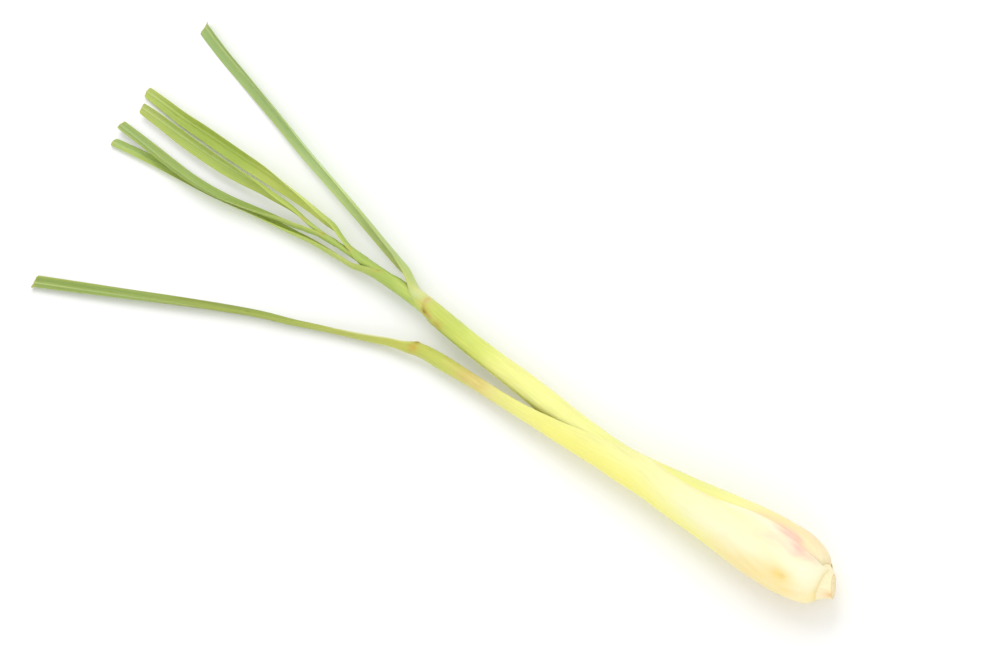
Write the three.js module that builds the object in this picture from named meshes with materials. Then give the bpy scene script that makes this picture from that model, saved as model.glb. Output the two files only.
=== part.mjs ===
// Lemongrass stalk, trimmed as sold: a bulb of tightly wrapped leaf sheaths on a short cut stem,
// the sheaths narrowing into a round stalk, and six leaf blades that fan out from their collars to
// one square trimming cut. The stalk lies on a flat surface, z = 0. Millimetres, +Z up, +X from
// the root end to the leaf tips. Every leaf is one closed solid: sheath, collar and blade in one.
import * as THREE from 'three';

// ---- driving dimensions -------------------------------------------------------------------
const GAP_BULB = 0.4;        // clear space between nested sheaths in the bulb
const GAP_NECK = 0.3;        // and in the narrow stalk
const GAP_BULB_END = 60;     // x where the gap has come down to GAP_NECK
const ORIGIN = [195.065, 22.116, 0];    // middle of the box's bottom, taken off at the end
const OUTER_COLUMNS = 20;    // facets across the outer leaf
const SECOND_COLUMNS = 18;
const INNER_COLUMNS = 14;
const SUBSTEPS = 8;          // integration steps per facet of a section

// Axis of the stalk: x, y, z
const AXIS = [
  [-4, 0.25, 13.35], [-2, 0.75, 13.2], [0, 1.3, 13.0], [2, 1.85, 12.8], [3.5, 2.0, 12.7], [5.5, 1.75, 12.66], [7.5, 1.3, 12.66], [10, 1.02, 12.66],
  [14, 0.9, 12.66], [18, 1.0, 12.67], [22, 1.27, 12.67], [27, 1.57, 12.64], [31, 1.85, 12.55], [36, 2.2, 12.38], [45.5, 2.85, 12.0],
  [55, 3.64, 11.58], [64, 4.45, 11.2], [74, 5.25, 10.85], [84, 6.1, 10.55], [94, 6.8, 10.3], [104, 6.65, 10.1],
  [114, 6.2, 9.9], [124, 5.55, 9.7], [134.5, 4.75, 9.5], [145, 4.1, 9.25], [156, 3.68, 8.95], [167, 3.35, 8.65],
  [178, 2.85, 8.3], [189, 2.1, 8.0], [200, 1.25, 7.7], [212, 0.7, 7.45], [226, 0.5, 7.2], [240, 0.6, 7.0],
  [260, 0.8, 6.8], [290, 1.0, 6.6],
];
// Outer radius of the second leaf's sheath, which sets all the others: x, r
const STALK_R = [
  [1.8, 5.25], [3, 6.2], [4.5, 7.35], [5.5, 8.05], [7, 8.98], [10, 10.13], [13.5, 10.96], [18, 11.48], [22, 11.55], [27, 11.5],
  [31, 11.3], [36, 10.92], [45.5, 9.98], [55, 8.95], [64, 8.16], [74, 7.27], [84, 6.45], [94, 5.85], [104, 5.5],
  [114, 5.2], [124, 5.0], [134.5, 4.8], [145, 4.6], [156, 4.35], [167, 4.15], [178, 4.08], [200, 4.04], [215, 3.95], [300, 3.6],
];
// Wall of each sheath: x, t
const WALL = {
  outer: [[1.8, 0.55], [3, 0.6], [6, 0.7], [12, 0.95], [30, 0.95], [50, 0.85], [70, 0.75], [85, 0.65], [110, 0.55], [400, 0.55]],
  second: [[4.5, 0.55], [7, 0.95], [10, 1.5], [18, 2.0], [30, 2.0], [50, 1.4], [70, 1.0], [90, 0.75], [120, 0.6], [150, 0.5], [400, 0.5]],
  third: [[9, 0.9], [14, 1.5], [20, 1.9], [35, 1.8], [50, 1.3], [70, 0.95], [100, 0.6], [150, 0.5], [400, 0.5]],
  fourth: [[13, 0.9], [18, 1.5], [30, 1.5], [50, 1.1], [70, 0.8], [100, 0.6], [150, 0.5], [400, 0.5]],
  fifth: [[17, 0.8], [22, 1.2], [35, 1.1], [50, 0.9], [70, 0.7], [100, 0.55], [150, 0.45], [400, 0.45]],
};
// The stem inside the bulb: x, r. It ends in the growing point.
const STEM = [
  [-4, 3.1], [-3, 3.4], [-2, 3.7], [-0.7, 4.1], [0, 4.35], [1, 4.8], [1.8, 5.2], [3, 6.1], [4, 6.4], [5.5, 6.5], [7, 6.5], [8.5, 6.4], [11, 5.8],
  [14, 4.6], [17, 3.4], [20, 2.4], [24, 1.6], [27, 1.0], [28.2, 0.5],
];
const STEM_CUT = [-1.03, 1.0, 13.1];     // a point of the root cut, near its middle
const STEM_CUT_SLOPE = [-0.62, -0.08];   // the cut is oblique: dx/dy and dx/dz along it
const STEM_RINGS = [0, 0.12, 0.5, 1.2, 2.2, 3.3, 4.6, 6.2, 8.5, 11, 14, 17, 20, 24, 27, 28.2];   // the first ones lean with the cut

// ---- small maths --------------------------------------------------------------------------
const clamp = (v, a, b) => Math.min(b, Math.max(a, v));
const smooth = (a, b, v) => { const t = clamp((v - a) / (b - a), 0, 1); return t * t * (3 - 2 * t); };
const mix = (a, b, t) => a + (b - a) * t;
const rad = Math.PI / 180;

// Cubic Hermite through a table's rows, column c against column 0; monotone where asked.
function at(table, x, c = 1, monotone = true) {
  const n = table.length;
  if (x <= table[0][0]) return table[0][c];
  if (x >= table[n - 1][0]) return table[n - 1][c];
  let k = 0;
  while (x > table[k + 1][0]) k++;
  const slope = (i) => (table[i + 1][c] - table[i][c]) / (table[i + 1][0] - table[i][0]);
  const tangent = (i) => {
    if (i === 0) return slope(0);
    if (i === n - 1) return slope(n - 2);
    const a = slope(i - 1), b = slope(i);
    if (monotone) return a * b <= 0 ? 0 : 2 * a * b / (a + b);
    return (a + b) / 2;
  };
  const h = table[k + 1][0] - table[k][0], t = (x - table[k][0]) / h;
  const t2 = t * t, t3 = t2 * t;
  return (2 * t3 - 3 * t2 + 1) * table[k][c] + (t3 - 2 * t2 + t) * h * tangent(k)
    + (-2 * t3 + 3 * t2) * table[k + 1][c] + (t3 - t2) * h * tangent(k + 1);
}

const gap = (x) => mix(GAP_BULB, GAP_NECK, smooth(10, GAP_BULB_END, x));
// outer radius of each sheath, from the stalk's own radius inwards
const RADIUS = {
  second: (x) => at(STALK_R, x),
  outer: (x) => RADIUS.second(x) + gap(x) + at(WALL.outer, x),
  third: (x) => RADIUS.second(x) - at(WALL.second, x) - gap(x),
  fourth: (x) => RADIUS.third(x) - at(WALL.third, x) - gap(x),
  fifth: (x) => RADIUS.fourth(x) - at(WALL.fourth, x) - gap(x),
  inner: (x) => RADIUS.fifth(x) - at(WALL.fifth, x) - gap(x),
};
WALL.inner = [[20, 2.2], [30, 2.2], [60, 2.0], [70, 1.9], [100, 1.5], [150, 0.95], [200, 0.62], [270, 0.5], [300, 0.45], [400, 0.45]];

const axisPoint = (x) => new THREE.Vector3(x, at(AXIS, x, 1, false), at(AXIS, x, 2, false));
function frameOf(tangent) {
  const side = new THREE.Vector3(0, 0, 1).cross(tangent).normalize();   // towards +Y
  const up = tangent.clone().cross(side).normalize();
  return { side, up };
}

// ---- leaves -------------------------------------------------------------------------------
// wrap: x, margin angle on one side, margin angle on the other (degrees about the axis, 0 = +Y,
//   90 = up), which gives the back's direction (their mean) and how far the section goes round.
// radius: x, radius of the section's curve beyond the collar (the sheath's own radius before it).
// thin: what is left of the wall at the margins.
// path: x, y, z, anchor. Anchor 0: the row is the middle of the section's circle. Anchor 1: y is the middle of the
//   section seen from above, and z is its lowest point.
// join: x where the leaf starts to leave the stalk's axis, and where it follows its path alone.
const LEAVES = [
  {
    name: 'outer_leaf', key: 'outer', colour: 0xeee9a8, columns: OUTER_COLUMNS, base: 2.85, skew: -1.0, lean: 45, thin: 0.5,
    wrap: [[1.8, 150, -151], [3.2, 141, -150.5], [4.9, 127, -149.5], [6.6, 120.5, -148.5], [8.2, 116.5, -147], [10.4, 113, -146], [12.5, 112, -145], [16, 118.5, -144], [21, 124, -143], [29, 125, -142],
      [37, 123, -142], [44.6, 117, -142], [53, 113, -142], [60, 113.5, -142], [72, 122, -142], [80, 138, -142], [86, 146, -140], [95, 134, -122], [103, 118, -104],
      [113, 106, -93], [122, 98, -92], [134, 96, -98],
      [146, 105, -112], [158, 122, -120], [170, 142, -112], [186, 162, -84], [193, 153, -74], [198, 134, -68], [204, 90, -62], [214, 50, -58], [240, 22, -62],
      [280, -2, -76], [330, -30, -88], [375, -52, -100]],
    radius: [[86, 7.3], [94, 6.95], [103, 6.7], [113, 6.45], [122, 6.0], [134, 5.0], [146, 3.95], [170, 3.05], [186, 3.15], [197, 3.0], [204, 3.3],
      [214, 4.2], [240, 5.2], [280, 6], [330, 7.5], [375, 8.5]],
    path: [[80, 5.75, 10.7, 0], [92, 6.8, 10.35, 0], [103, 7.4, 10.1, 0], [119, 8.7, 9.65, 0], [134, 10.4, 9.0, 0], [146, 11.9, 8.15, 0],
      [165, 13.5, 6.6, 0], [186, 14.9, 5.3, 0], [197, 16.0, 4.7, 0], [209.2, 20.1, 2.2, 0.85], [219.6, 23.85, 0.9, 1], [231.7, 28.0, 0.5, 1],
      [243.6, 32.25, 0.25, 1], [254.8, 36.5, 0.1, 1], [269.5, 41.6, 0, 1], [288, 49.2, 0, 1], [308.8, 58.5, 0, 1], [329.7, 68.1, 0, 1],
      [351.5, 77.9, 0, 1], [375, 88.4, 0, 1]],
    fold: [[197, 0], [215, 14], [375, 12]], join: [84, 94], end: 375,
    rows: [3.0, 3.7, 4.6, 5.6, 7, 9, 12, 17, 23, 30, 38, 46, 54, 62, 71, 79, 87, 94, 101, 109, 118, 127, 136, 146, 158, 172, 186, 193, 198, 204, 212, 224, 240, 258, 280, 302, 326, 350, 375],
  },
  {
    name: 'second_leaf', key: 'second', colour: 0xdfe27a, columns: SECOND_COLUMNS, base: 5.1, skew: -0.55, lean: 0, thin: 0.6,
    wrap: [[5, 356, 8], [150, 354, 8], [196, 352, 12], [204, 334, 32], [210, 290, 72], [217, 254, 112], [224, 252, 124], [232, 256, 146],
      [260, 258, 160], [330, 262, 178], [392, 272, 200]],
    radius: [[204, 3.97], [212, 4.0], [217, 4.05], [224, 4.2], [232, 4.6], [260, 5.2], [330, 6], [392, 6.5]],
    path: [[205, 1.0, 7.6, 0], [213, 0.4, 7.45, 0], [221, -5.2, 4.2, 1], [229.6, -7.3, 4.7, 1], [236.9, -8.9, 5.0, 1], [251.9, -12.3, 5.1, 1],
      [275.2, -17.3, 4.5, 1], [298.7, -22.2, 3.6, 1], [323.3, -28.0, 2.2, 1], [354, -34.9, 0.6, 1], [369, -38.2, 0.1, 1], [384.1, -42.1, 0, 1], [392, -44.4, 0, 1]],
    fold: [[214, 0], [228, 14], [392, 14]], join: [207, 220], end: 392,
    rows: [5.1, 5.8, 7, 9, 12, 17, 23, 30, 38, 47, 56, 72, 88, 104, 122, 142, 162, 182, 194, 200, 206, 210, 214, 218, 222, 228, 236, 250, 268, 290, 314, 340, 366, 392],
  },
  {
    name: 'third_leaf', key: 'third', colour: 0xa9c46a, columns: INNER_COLUMNS, base: 9.4, skew: 0, lean: 0, thin: 0.72,
    wrap: [[9, 172, -172], [205, 172, -172], [221, 165, -165], [227, 130, -130], [233, 92, -92], [239, 64, -70], [247, 46, -58], [262, 30, -54],
      [300, -8, -66], [340, -33, -78], [392, -56, -88]],
    radius: [[221, 3.16], [239, 3.2], [247, 3.7], [262, 4.8], [300, 6.6], [340, 8], [392, 8.5]],
    path: [[226, 0.5, 7.2, 0], [234, 0.9, 7.1, 0], [243, 4.3, 3.4, 1], [250, 4.4, 3.0, 1], [259.4, 4.8, 2.4, 1], [270.9, 5.4, 1.7, 1], [282.2, 6.7, 1.1, 1], [293.6, 8.0, 0.65, 1],
      [305.5, 9.4, 0.3, 1], [316.6, 11.0, 0.1, 1], [328.4, 12.5, 0, 1], [340.8, 13.7, 0, 1], [353.3, 14.9, 0, 1], [366, 16.2, 0, 1], [378, 17.8, 0, 1], [391, 19.7, 0, 1]],
    fold: [[240, 0], [254, 12], [391, 12]], join: [230, 250], end: 391,
    rows: [9.4, 11, 14, 18, 24, 30, 42, 56, 72, 88, 104, 122, 142, 162, 182, 200, 214, 222, 228, 233, 239, 247, 257, 270, 286, 304, 324, 346, 368, 391],
  },
  {
    name: 'fourth_leaf', key: 'fourth', colour: 0xb9cf6f, columns: INNER_COLUMNS, base: 13.2, skew: 0, lean: 0, thin: 0.72,
    wrap: [[13, 350, 10], [230, 350, 10], [241, 342, 18], [246, 300, 60], [251, 258, 102], [257, 240, 120], [265, 240, 130], [280, 240, 152],
      [315, 262, 190], [350, 269, 208], [393, 267, 226]],
    radius: [[241, 2.35], [251, 2.5], [257, 3.1], [265, 4.0], [280, 5.4], [315, 7], [393, 8]],
    path: [[246, 0.6, 7.0, 0], [252, 0.2, 6.9, 0], [260, -3.4, 4.6, 1], [272.2, -4.5, 4.3, 1], [285.2, -5.2, 3.9, 1], [297.8, -5.4, 3.4, 1], [311.4, -5.7, 2.9, 1], [324, -5.6, 2.5, 1],
      [337.5, -5.6, 2.1, 1], [351.2, -5.7, 1.8, 1], [364.7, -5.6, 1.5, 1], [379.6, -6.2, 1.2, 1], [393, -6.6, 1.0, 1]],
    fold: [[256, 0], [270, 12], [393, 12]], join: [248, 266], end: 393,
    rows: [13.2, 15, 18, 24, 30, 42, 56, 72, 88, 104, 122, 142, 162, 182, 200, 214, 228, 241, 247, 252, 257, 265, 275, 288, 304, 324, 346, 368, 393],
  },
  {
    name: 'fifth_leaf', key: 'fifth', colour: 0x9fc37a, columns: INNER_COLUMNS, base: 17.2, skew: 0, lean: 0, thin: 0.72,
    wrap: [[17, 170, -170], [250, 170, -170], [258, 155, -155], [263, 120, -120], [268, 82, -84], [274, 56, -62], [283, 38, -56], [300, 6, -66],
      [330, -18, -76], [392, -44, -84]],
    radius: [[258, 1.55], [268, 2.0], [274, 2.7], [283, 3.8], [300, 5.4], [330, 7], [392, 8]],
    path: [[263, 0.8, 6.8, 0], [269, 1.3, 6.7, 0], [277, 4.0, 4.3, 1], [286, 5.2, 3.9, 1], [297, 7.2, 3.4, 1], [308, 9.3, 3.0, 1], [320, 11.5, 2.75, 1], [332, 12.8, 2.6, 1], [343, 13.2, 2.5, 1],
      [355, 12.9, 2.4, 1], [367, 12.4, 2.3, 1], [380, 12.0, 2.2, 1], [392, 11.7, 2.1, 1]],
    fold: [[272, 0], [286, 12], [392, 12]], join: [264, 284], end: 392,
    rows: [17.2, 19, 24, 30, 42, 56, 72, 88, 104, 122, 142, 162, 182, 200, 214, 228, 241, 257, 263, 268, 274, 283, 294, 308, 324, 342, 366, 392],
  },
  {
    name: 'inner_leaf', key: 'inner', colour: 0xc2d67c, columns: INNER_COLUMNS, base: 29.0, skew: 0, lean: 0, thin: 0.72,
    wrap: [[29, 335, 25], [262, 335, 25], [271, 320, 40], [277, 280, 80], [283, 250, 110], [291, 242, 122], [305, 248, 150], [330, 262, 184],
      [360, 266, 202], [387, 263, 219]],
    radius: [[262, 0.85], [271, 1.05], [277, 1.5], [283, 2.2], [291, 3.4], [305, 5.0], [330, 6.6], [387, 7.6]],
    path: [[277, 0.2, 5.7, 1], [292, -0.1, 5.6, 1], [305, 0.2, 5.4, 1], [317.6, 1.2, 5.1, 1], [329.9, 1.8, 4.8, 1], [343.3, 1.9, 4.5, 1], [356.9, 1.7, 4.2, 1], [371.8, 1.1, 3.9, 1], [387, 0.8, 3.6, 1]],
    fold: [[277, 0], [295, 12], [387, 12]], join: [278, 298], end: 387,
    rows: [29, 30, 34, 42, 56, 72, 88, 104, 122, 142, 162, 182, 200, 214, 228, 241, 257, 266, 272, 278, 284, 291, 300, 312, 328, 346, 366, 387],
  },
];

// Points of one section, outside then inside, in the plane across the leaf at x.
function section(leaf, x) {
  const a = at(leaf.wrap, x, 1), b = at(leaf.wrap, x, 2);
  const back = (a + b) / 2 * rad, half = (a - b) / 2 * rad;
  const sheathR = RADIUS[leaf.key](x);
  const r = x < leaf.radius[0][0] ? sheathR : at(leaf.radius, x);
  const wall = Math.min(at(WALL[leaf.key], x), r - 0.2);
  const fold = at(leaf.fold, x) * rad;
  const n = leaf.columns, steps = (n / 2) * SUBSTEPS, width = half * r, du = width / steps;
  const side = [];
  let px = 0, py = 0;
  for (let i = 0; i <= steps; i++) {
    const u = i * du;
    const psi = u / r + fold * smooth(0, 1.2, u);
    if (i > 0) {
      const um = (i - 0.5) * du, pm = um / r + fold * smooth(0, 1.2, um);
      px += Math.cos(pm) * du; py -= Math.sin(pm) * du;
    }
    if (i % SUBSTEPS === 0) {
      const edge = u / width;
      const d = wall * mix(0, 1 - leaf.thin, smooth(0.25, 1, edge));   // the margins thin from the outside
      side.push([px - Math.sin(psi) * d, py - Math.cos(psi) * d, px - Math.sin(psi) * wall, py - Math.cos(psi) * wall]);
    }
  }
  const outer = [], inner = [];
  for (let i = side.length - 1; i > 0; i--) { outer.push([-side[i][0], side[i][1]]); inner.push([-side[i][2], side[i][3]]); }
  for (const s of side) { outer.push([s[0], s[1]]); inner.push([s[2], s[3]]); }
  return { outer, inner, back, r };
}

// Centre line the section is placed on, before its own offset.
function placed(leaf, x, sec, frame) {
  // direction of the back and of the section's width in space
  const nu = frame.side.clone().multiplyScalar(Math.cos(sec.back)).addScaledVector(frame.up, Math.sin(sec.back));
  const tau = frame.side.clone().multiplyScalar(-Math.sin(sec.back)).addScaledVector(frame.up, Math.cos(sec.back));
  const local = (p) => tau.clone().multiplyScalar(p[0]).addScaledVector(nu, p[1]);
  const all = [...sec.outer, ...sec.inner].map(local);
  const onAxis = axisPoint(x).addScaledVector(nu, sec.r);
  const w = smooth(leaf.join[0], leaf.join[1], x);
  let origin = onAxis;
  if (w > 0) {
    const anchor = at(leaf.path, x, 3);
    let lo = Infinity, y0 = Infinity, y1 = -Infinity;
    for (const p of all) {
      lo = Math.min(lo, p.z);
      const y = p.dot(frame.side);
      y0 = Math.min(y0, y); y1 = Math.max(y1, y);
    }
    const mid = (y0 + y1) / 2;
    const onPath = new THREE.Vector3(x, at(leaf.path, x, 1, false), at(leaf.path, x, 2));
    onPath.addScaledVector(frame.side, -anchor * mid);
    onPath.z -= anchor * lo;
    onPath.addScaledVector(nu, (1 - anchor) * sec.r);
    origin = onAxis.lerp(onPath, w);
  }
  // the base edge is oblique: each point slides along the sheath, keeping to its radius there
  const base = smooth(leaf.base + 8, leaf.base, x) * leaf.skew;
  const c0 = axisPoint(x), r0 = RADIUS[leaf.key](x);
  return all.map((v) => {
    v.add(origin);
    if (base !== 0) {
      const radial = new THREE.Vector3(0, v.y - c0.y, v.z - c0.z).normalize();
      const dx = base * (radial.y * Math.cos(leaf.lean * rad) + radial.z * Math.sin(leaf.lean * rad));
      v.add(axisPoint(x + dx).sub(c0)).addScaledVector(radial, RADIUS[leaf.key](x + dx) - r0);
    }
    return v;
  });
}

function leafGeometry(leaf) {
  const rings = [];
  for (const x of leaf.rows) {
    const d = 1.0, w = smooth(leaf.join[0], leaf.join[1] + 8, x);
    const along = axisPoint(x + d).sub(axisPoint(x - d)).normalize();
    along.lerp(new THREE.Vector3(1, 0, 0), smooth(30, 10, x)).normalize();   // the first sections stand square
    const py = (v) => at(leaf.path, v, 1, false), pz = (v) => at(leaf.path, v, 2);
    const blade = new THREE.Vector3(2 * d, py(Math.min(x + d, leaf.end)) - py(x - d), (pz(Math.min(x + d, leaf.end)) - pz(x - d)) * 0.6).normalize();
    const tangent = along.lerp(blade, w).normalize();
    const frame = frameOf(tangent);
    rings.push(placed(leaf, x, section(leaf, x), frame));
  }
  const m = rings[0].length, n = m / 2;
  // ring order: outer 0..n-1, then inner n-1..0
  const order = [...Array(n).keys(), ...[...Array(n).keys()].reverse().map((i) => n + i)];
  const positions = [];
  for (const ring of rings) for (const i of order) positions.push(ring[i].x, ring[i].y, ring[i].z);
  const index = [];
  for (let k = 0; k < rings.length - 1; k++) {
    for (let i = 0; i < m; i++) {
      const j = (i + 1) % m, a = k * m + i, b = k * m + j, c = (k + 1) * m + j, d = (k + 1) * m + i;
      index.push(a, b, c, a, c, d);
    }
  }
  const cap = (k, flip) => {
    for (let i = 0; i < n - 1; i++) {
      const a = k * m + i, b = k * m + i + 1, c = k * m + (m - 2 - i), d = k * m + (m - 1 - i);
      if (flip) index.push(a, c, b, a, d, c); else index.push(a, b, c, a, c, d);
    }
  };
  cap(0, true); cap(rings.length - 1, false);
  const g = new THREE.BufferGeometry();
  g.setAttribute('position', new THREE.Float32BufferAttribute(positions, 3));
  g.setIndex(index);
  return outward(g);
}

// Turns every face if the solid is inside out.
function outward(g) {
  const p = g.attributes.position, ix = g.index.array;
  let six = 0;
  const a = new THREE.Vector3(), b = new THREE.Vector3(), c = new THREE.Vector3();
  for (let i = 0; i < ix.length; i += 3) {
    a.fromBufferAttribute(p, ix[i]); b.fromBufferAttribute(p, ix[i + 1]); c.fromBufferAttribute(p, ix[i + 2]);
    six += a.dot(b.cross(c));
  }
  if (six < 0) for (let i = 0; i < ix.length; i += 3) { const t = ix[i + 1]; ix[i + 1] = ix[i + 2]; ix[i + 2] = t; }
  g.computeVertexNormals();
  return g;
}

// The stem: rings about the axis, the first of them on the oblique cut.
function stemGeometry() {
  const sides = 20, positions = [], index = [];
  const point = (x, f) => {
    const c = axisPoint(x), r = at(STEM, x);
    return new THREE.Vector3(x, c.y + Math.cos(f) * r, c.z + Math.sin(f) * r);
  };
  // x where the line of the surface at angle f meets the cut
  const cutAt = (f) => {
    let a = -4, b = 6;
    for (let i = 0; i < 40; i++) {
      const x = (a + b) / 2, v = point(x, f);
      if (x < STEM_CUT[0] + STEM_CUT_SLOPE[0] * (v.y - STEM_CUT[1]) + STEM_CUT_SLOPE[1] * (v.z - STEM_CUT[2])) a = x; else b = x;
    }
    return (a + b) / 2;
  };
  for (const s of STEM_RINGS) {
    for (let i = 0; i < sides; i++) {
      const f = i / sides * Math.PI * 2;
      const v = point(s + cutAt(f) * (1 - smooth(0, 8.5, s)), f);
      positions.push(v.x, v.y, v.z);
    }
  }
  const rows = STEM_RINGS.length;
  for (let k = 0; k < rows - 1; k++) for (let i = 0; i < sides; i++) {
    const j = (i + 1) % sides;
    index.push(k * sides + i, k * sides + j, (k + 1) * sides + j, k * sides + i, (k + 1) * sides + j, (k + 1) * sides + i);
  }
  const e = axisPoint(28.6);
  positions.push(...STEM_CUT, e.x, e.y, e.z);
  const first = rows * sides, last = first + 1;
  for (let i = 0; i < sides; i++) {
    const j = (i + 1) % sides;
    index.push(first, j, i, last, (rows - 1) * sides + i, (rows - 1) * sides + j);
  }
  const g = new THREE.BufferGeometry();
  g.setAttribute('position', new THREE.Float32BufferAttribute(positions, 3));
  g.setIndex(index);
  return outward(g);
}

const stalk = new THREE.Group();
stalk.position.set(-ORIGIN[0], -ORIGIN[1], -ORIGIN[2]);
const stem = new THREE.Mesh(stemGeometry(), new THREE.MeshStandardMaterial({ color: 0xf1e6c4, roughness: 0.6, metalness: 0 }));
stem.name = 'base_stem';
stalk.add(stem);
for (const leaf of LEAVES) {
  const mesh = new THREE.Mesh(leafGeometry(leaf), new THREE.MeshStandardMaterial({ color: leaf.colour, roughness: 0.5, metalness: 0, side: THREE.DoubleSide }));
  mesh.name = leaf.name;
  stalk.add(mesh);
}

export default stalk;
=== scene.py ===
import math

import bpy
import numpy as np
from mathutils import Matrix, Vector


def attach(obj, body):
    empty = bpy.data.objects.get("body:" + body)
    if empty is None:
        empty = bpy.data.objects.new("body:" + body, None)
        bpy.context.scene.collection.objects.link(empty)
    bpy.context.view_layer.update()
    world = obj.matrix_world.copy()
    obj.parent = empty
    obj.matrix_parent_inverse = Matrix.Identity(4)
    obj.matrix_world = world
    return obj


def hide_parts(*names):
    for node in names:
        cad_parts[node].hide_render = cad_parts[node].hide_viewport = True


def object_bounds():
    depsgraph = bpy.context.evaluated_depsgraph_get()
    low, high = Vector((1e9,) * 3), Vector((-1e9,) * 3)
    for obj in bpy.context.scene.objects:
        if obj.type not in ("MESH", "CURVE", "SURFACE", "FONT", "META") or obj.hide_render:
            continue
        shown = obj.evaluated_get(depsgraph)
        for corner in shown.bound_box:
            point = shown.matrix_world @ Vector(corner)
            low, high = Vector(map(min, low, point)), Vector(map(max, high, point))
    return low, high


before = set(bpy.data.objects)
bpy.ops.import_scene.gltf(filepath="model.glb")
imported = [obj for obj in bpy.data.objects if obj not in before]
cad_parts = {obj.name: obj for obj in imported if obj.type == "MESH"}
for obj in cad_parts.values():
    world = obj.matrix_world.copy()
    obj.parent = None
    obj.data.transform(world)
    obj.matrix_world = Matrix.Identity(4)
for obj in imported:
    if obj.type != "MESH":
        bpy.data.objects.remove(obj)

CAD_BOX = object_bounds()
MM = 0.001
DEG = math.pi / 180.0
ORIGIN = np.array([195.065, 22.116, 0.0])
TOP = float(CAD_BOX[1][2]) / MM

# ---- camera, floor and light --------------------------------------------------------------------
RIGHT = Vector((-0.703047, -0.616436, -0.354585))
UP = Vector((0.485657, -0.780419, 0.393807))
FORWARD = Vector((0.519482, -0.104658, -0.848048))
cam_data = bpy.data.cameras.new("camera")
cam_data.lens = 82.8
cam_data.sensor_width = 36.0
cam_data.sensor_fit = "HORIZONTAL"
cam_data.clip_start = 0.01
cam_data.clip_end = 20.0
cam = bpy.data.objects.new("camera", cam_data)
cam.matrix_world = Matrix((
    (RIGHT.x, UP.x, -FORWARD.x, -0.4818346),
    (RIGHT.y, UP.y, -FORWARD.y, 0.0630016),
    (RIGHT.z, UP.z, -FORWARD.z, 0.7547628),
    (0.0, 0.0, 0.0, 1.0),
))
bpy.context.scene.collection.objects.link(cam)
bpy.context.scene.camera = cam
bpy.context.scene.view_settings.view_transform = "Standard"
bpy.context.scene.view_settings.look = "None"
bpy.context.scene.view_settings.exposure = 0.0
bpy.context.scene.view_settings.gamma = 1.0

world = bpy.data.worlds.new("studio")
bpy.context.scene.world = world
world.use_nodes = True
world.node_tree.nodes["Background"].inputs["Color"].default_value = (1.0, 1.0, 1.0, 1.0)
world.node_tree.nodes["Background"].inputs["Strength"].default_value = 0.92


def area_light(name, place, target, size, power, colour=(1.0, 1.0, 1.0)):
    data = bpy.data.lights.new(name, "AREA")
    data.shape = "DISK"
    data.size = size
    data.energy = power
    data.color = colour
    ob = bpy.data.objects.new(name, data)
    ob.location = place
    ob.rotation_euler = (Vector(target) - Vector(place)).to_track_quat("-Z", "Y").to_euler()
    bpy.context.scene.collection.objects.link(ob)
    return ob


area_light("softbox_top", (0.30, -0.55, 1.05), (0.0, 0.0, 0.0), 0.9, 5.0)
area_light("softbox_side", (-1.0, 0.5, 0.5), (-0.12, 0.0, 0.0), 1.0, 2.8)

floor_mesh = bpy.data.meshes.new("floor")
floor_mesh.from_pydata([(-6, -6, 0), (6, -6, 0), (6, 6, 0), (-6, 6, 0)], [], [(0, 1, 2, 3)])
floor = bpy.data.objects.new("floor", floor_mesh)
bpy.context.scene.collection.objects.link(floor)
floor_mat = bpy.data.materials.new("floor")
floor_mat.use_nodes = True
floor_bsdf = floor_mat.node_tree.nodes["Principled BSDF"]
floor_bsdf.inputs["Base Color"].default_value = (0.90, 0.90, 0.90, 1.0)
floor_bsdf.inputs["Roughness"].default_value = 0.9
floor_bsdf.inputs["Specular IOR Level"].default_value = 0.0
floor_mesh.materials.append(floor_mat)


# ---- small maths --------------------------------------------------------------------------------
def smooth(a, b, v):
    t = np.clip((np.asarray(v, float) - a) / (b - a), 0.0, 1.0)
    return t * t * (3.0 - 2.0 * t)


def mix(a, b, t):
    return a + (b - a) * t


def at(table, x, c=1, monotone=True):
    """Cubic Hermite through a table's rows, column c against column 0."""
    t = np.asarray(table, float)
    xs, ys = t[:, 0], t[:, c]
    x = np.clip(np.asarray(x, float), xs[0], xs[-1])
    s = np.diff(ys) / np.diff(xs)
    m = np.empty(len(xs))
    m[0], m[-1] = s[0], s[-1]
    a, b = s[:-1], s[1:]
    if monotone:
        ok = a * b > 0
        m[1:-1] = np.where(ok, 2 * a * b / np.where(ok, a + b, 1.0), 0.0)
    else:
        m[1:-1] = (a + b) / 2
    k = np.clip(np.searchsorted(xs, x, side="left") - 1, 0, len(xs) - 2)
    h = xs[k + 1] - xs[k]
    u = (x - xs[k]) / h
    u2, u3 = u * u, u * u * u
    return ((2 * u3 - 3 * u2 + 1) * ys[k] + (u3 - 2 * u2 + u) * h * m[k]
            + (-2 * u3 + 3 * u2) * ys[k + 1] + (u3 - u2) * h * m[k + 1])


def wave_noise(seed, x, y, sx, sy, terms=14):
    """A smooth seeded field of about -1 to 1: sums of slanted sines, sx and sy the wavelengths."""
    g = np.random.default_rng(seed)
    out = 0.0
    for _ in range(terms):
        fx, fy = g.uniform(0.35, 1.6) / sx, g.uniform(-1.6, 1.6) / sy
        out = out + np.sin(2 * math.pi * (x * fx + y * fy) + g.uniform(0, 2 * math.pi))
    return out / math.sqrt(terms)


def blob(x, y, cx, cy, rx, ry):
    return np.exp(-((x - cx) / rx) ** 2 - ((y - cy) / ry) ** 2)


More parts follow.
